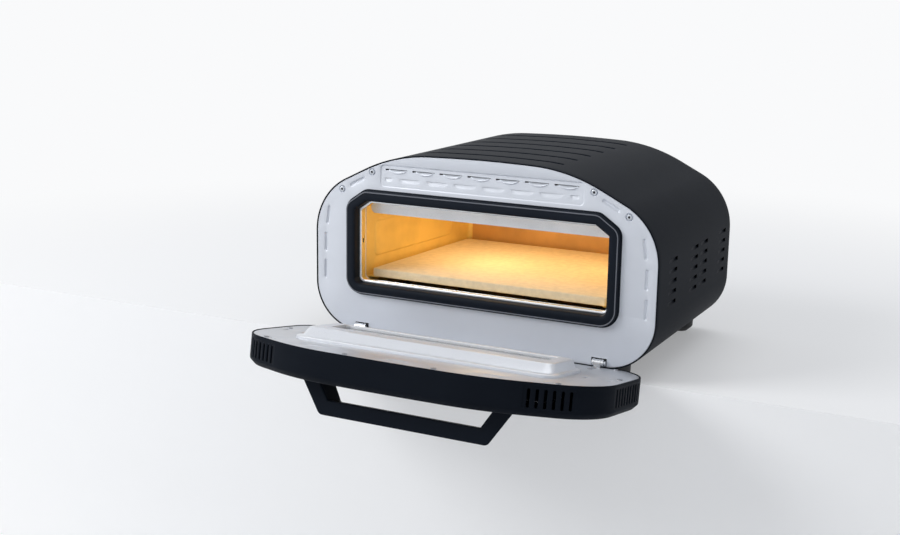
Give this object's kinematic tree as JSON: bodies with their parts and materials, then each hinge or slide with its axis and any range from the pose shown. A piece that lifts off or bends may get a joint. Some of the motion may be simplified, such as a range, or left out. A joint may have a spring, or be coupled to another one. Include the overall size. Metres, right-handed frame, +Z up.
{
  "type": "pizza_maker",
  "caption": "Countertop electric pizza oven with an arched dark shell, drop-down windowed door, silver interior and a sliding stone.",
  "frame": {"origin": "centre of the four feet, on the surface they stand on", "axes": "+X right and +Y back seen from the front, +Z up; the open door lies towards -Y"},
  "size_m": [0.5, 0.5784, 0.3125],
  "materials": {
    "shell_enamel": "satin dark blue-black",
    "bright_steel": "satin",
    "seal_rubber": "matte",
    "foot_rubber": "matte",
    "stone_cordierite": "matte",
    "element_steel": "dull",
    "clear_glass": "clear",
    "tinted_glass": "tinted",
    "black_plastic": "matte",
    "gloss_black": "glossy",
    "handle_plastic": "matte",
    "blanket": "fibrous",
    "porcelain": "glazed",
    "board_green": "matte",
    "button_metal": "satin"
  },
  "bodies": {
    "oven": {"outer_shell": "shell_enamel", "base_plate": "shell_enamel", "back_panel": "shell_enamel", "back_panel_screws": "bright_steel", "front_plate": "bright_steel", "front_plate_screws": "bright_steel", "door_seal": "seal_rubber", "throat_collar": "bright_steel", "cavity_liner": "bright_steel", "cavity_back": "bright_steel", "heat_deflector": "bright_steel", "stone_rail_left": "bright_steel", "stone_rail_right": "bright_steel", "upper_element": "element_steel", "lower_element": "element_steel", "element_clips": "bright_steel", "temperature_probe": "bright_steel", "lamp_holder": "porcelain", "lamp_bulb": "clear_glass", "lamp_glass": "clear_glass", "insulation": "blanket", "foot_front_left": "foot_rubber", "foot_front_right": "foot_rubber", "foot_back_left": "foot_rubber", "foot_back_right": "foot_rubber", "foot_screws": "bright_steel", "power_inlet": "black_plastic", "inlet_pins": "bright_steel", "hinge_bracket_left": "bright_steel", "hinge_bracket_right": "bright_steel", "hinge_pins": "bright_steel"},
    "stone": {"pizza_stone": "stone_cordierite"},
    "door": {"door_housing": "shell_enamel", "door_inner_panel": "bright_steel", "door_panel_screws": "bright_steel", "window_frame": "bright_steel", "inner_glass": "clear_glass", "outer_glass": "tinted_glass", "window_seal": "seal_rubber", "door_handle": "handle_plastic", "handle_screws": "bright_steel", "hinge_arm_left": "bright_steel", "hinge_arm_right": "bright_steel", "control_panel": "gloss_black", "display_window": "gloss_black", "control_board": "board_green", "button_switches": "black_plastic"},
    "power_button": {"power_button": "button_metal"},
    "cooler_button": {"cooler_button": "button_metal"},
    "hotter_button": {"hotter_button": "button_metal"},
    "shorter_button": {"shorter_button": "button_metal"},
    "longer_button": {"longer_button": "button_metal"},
    "light_button": {"light_button": "button_metal"}
  },
  "joints": [
    {"name": "door_hinge", "type": "hinge", "parent": "oven", "child": "door", "pos_m": [0, -0.1631, 0.0234], "axis": [-1, 0, 0], "range_deg": [0, 80.1]},
    {"name": "stone_slide", "type": "slide", "parent": "oven", "child": "stone", "axis": [0, 1, 0], "range_m": [-0.25, 0]},
    {"name": "power_button_press", "type": "slide", "parent": "door", "child": "power_button", "axis": [0, 0.1719, 0.9851], "range_m": [0, 0.0015], "stiffness_N_per_m": 400, "springref_m": -0.0003},
    {"name": "cooler_button_press", "type": "slide", "parent": "door", "child": "cooler_button", "axis": [0, 0.1719, 0.9851], "range_m": [0, 0.0015], "stiffness_N_per_m": 400, "springref_m": -0.0003},
    {"name": "hotter_button_press", "type": "slide", "parent": "door", "child": "hotter_button", "axis": [0, 0.1719, 0.9851], "range_m": [0, 0.0015], "stiffness_N_per_m": 400, "springref_m": -0.0003},
    {"name": "shorter_button_press", "type": "slide", "parent": "door", "child": "shorter_button", "axis": [0, 0.1719, 0.9851], "range_m": [0, 0.0015], "stiffness_N_per_m": 400, "springref_m": -0.0003},
    {"name": "longer_button_press", "type": "slide", "parent": "door", "child": "longer_button", "axis": [0, 0.1719, 0.9851], "range_m": [0, 0.0015], "stiffness_N_per_m": 400, "springref_m": -0.0003},
    {"name": "light_button_press", "type": "slide", "parent": "door", "child": "light_button", "axis": [0, 0.1719, 0.9851], "range_m": [0, 0.0015], "stiffness_N_per_m": 400, "springref_m": -0.0003}
  ]
}
